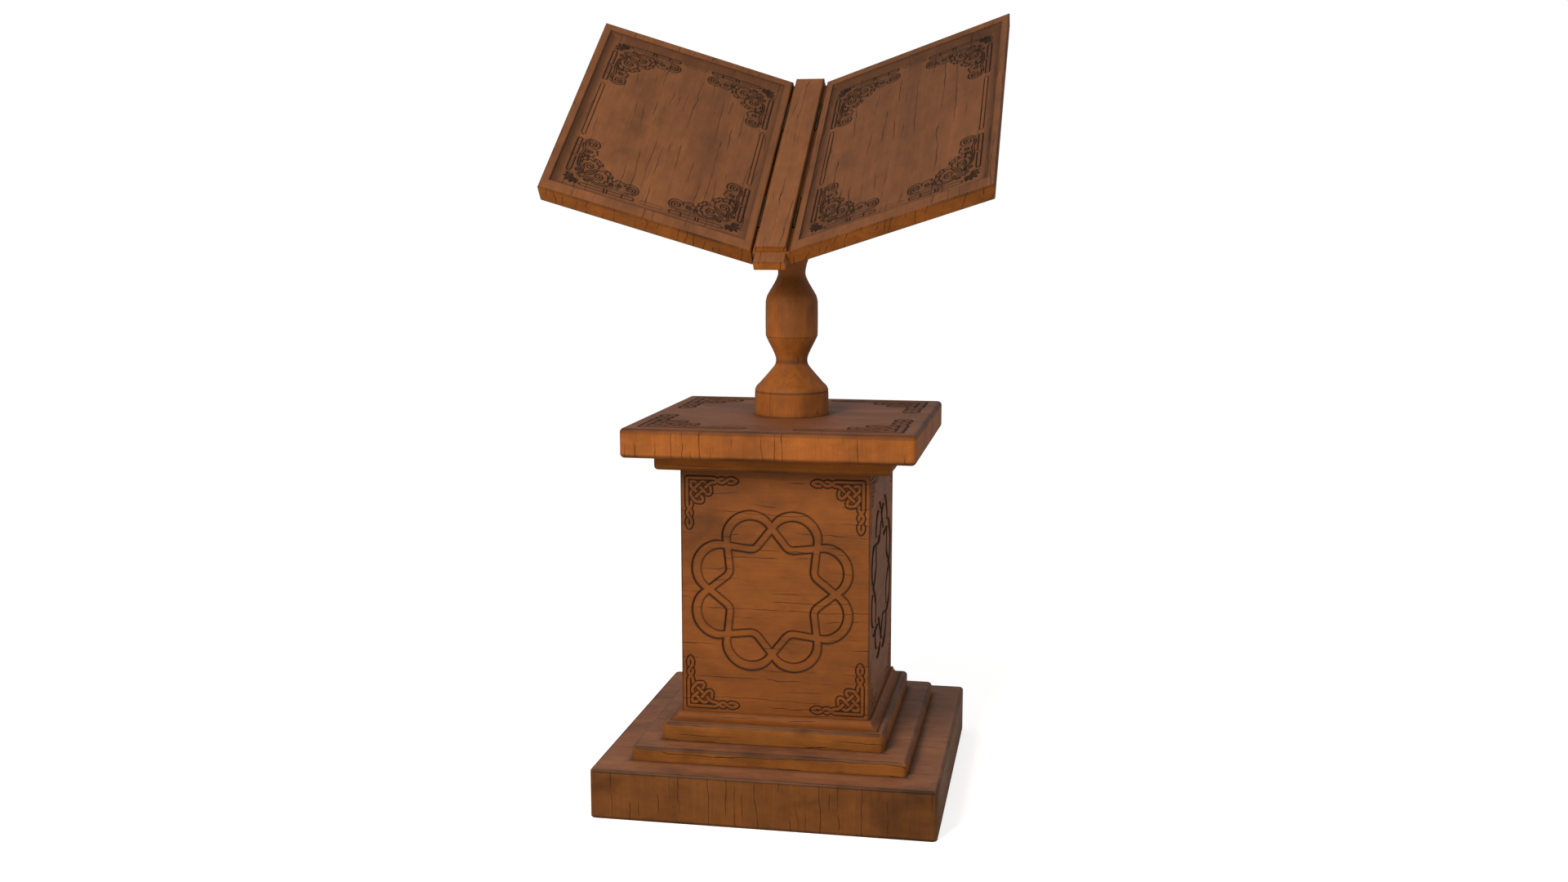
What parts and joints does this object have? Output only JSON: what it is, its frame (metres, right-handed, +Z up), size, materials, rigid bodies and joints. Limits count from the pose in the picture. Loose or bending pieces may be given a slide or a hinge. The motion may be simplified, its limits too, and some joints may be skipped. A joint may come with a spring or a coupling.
{
  "type": "quran stand",
  "caption": "Tall wooden reading stand: stepped plinth, square pedestal with carved panels, turned column and a tilted open-book rest with hinged boards.",
  "frame": {"origin": "centre of the plinth's underside, on the floor", "axes": "+X to the reader's right, +Y away from the reader, +Z up"},
  "size_m": [0.5984, 0.48, 1.1108],
  "materials": {
    "plinth_wood": "satin, warm brown, straight grain along X on the front, dark checks on the edges",
    "step_wood": "satin, warm brown",
    "pedestal_wood": "satin, orange brown, horizontal grain, carved knotwork",
    "cap_wood": "satin, warm brown, carved corners on the slab",
    "column_wood": "satin, turned, streaked grain",
    "board_wood": "satin, grain from front to back",
    "carved_wood": "satin, carved scroll corners",
    "spine_wood": "satin, grain along the spine",
    "bearer_wood": "satin, darker underside wood",
    "inner_wood": "raw, unfinished",
    "steel": "zinc plated",
    "brass": "aged, dull",
    "felt": "wool felt"
  },
  "bodies": {
    "stand": {"base_slab": "plinth_wood", "middle_step": "step_wood", "upper_step": "step_wood", "foot_moulding_front": "step_wood", "foot_moulding_right": "step_wood", "foot_moulding_back": "step_wood", "foot_moulding_left": "step_wood", "front_panel": "pedestal_wood", "right_panel": "pedestal_wood", "back_panel": "pedestal_wood", "left_panel": "pedestal_wood", "corner_block_1": "inner_wood", "corner_block_2": "inner_wood", "corner_block_3": "inner_wood", "corner_block_4": "inner_wood", "bottom_board": "inner_wood", "top_board": "inner_wood", "cornice_board": "cap_wood", "top_slab": "cap_wood", "tie_rod": "steel", "tie_rod_nut": "steel", "tie_rod_washer": "steel", "threaded_insert": "brass", "base_screws": "steel", "bottom_board_screws": "steel", "cornice_screws": "steel", "column": "column_wood", "swivel_pin": "steel", "thrust_washer": "brass"},
    "rest": {"swivel_plate": "steel", "plate_screws": "steel", "swivel_bush": "brass", "retaining_screw": "steel", "saddle_block": "bearer_wood", "saddle_dowels": "inner_wood", "spine_block": "spine_wood", "spine_cap": "spine_wood", "front_bearer": "bearer_wood", "rear_bearer": "bearer_wood", "bearer_screws": "steel", "felt_strips": "felt", "left_front_spine_leaf": "brass", "left_rear_spine_leaf": "brass", "right_front_spine_leaf": "brass", "right_rear_spine_leaf": "brass", "left_hinge_pins": "steel", "right_hinge_pins": "steel", "spine_hinge_screws": "brass"},
    "left_wing": {"left_board": "board_wood", "left_panel_carved": "carved_wood", "left_front_wing_leaf": "brass", "left_rear_wing_leaf": "brass", "left_hinge_screws": "brass"},
    "right_wing": {"right_board": "board_wood", "right_panel_carved": "carved_wood", "right_front_wing_leaf": "brass", "right_rear_wing_leaf": "brass", "right_hinge_screws": "brass"}
  },
  "joints": [
    {"name": "rest_swivel", "type": "hinge", "parent": "stand", "child": "rest", "pos_m": [0, 0, 0.8], "axis": [0, 0, 1], "continuous": true},
    {"name": "left_wing_hinge", "type": "hinge", "parent": "rest", "child": "left_wing", "pos_m": [-0.02375, -0.00522, 0.89715], "axis": [0, 0.7923, 0.6101], "range_deg": [0, 66]},
    {"name": "right_wing_hinge", "type": "hinge", "parent": "rest", "child": "right_wing", "pos_m": [0.02375, -0.00522, 0.89715], "axis": [0, -0.7923, -0.6101], "range_deg": [0, 66]}
  ]
}
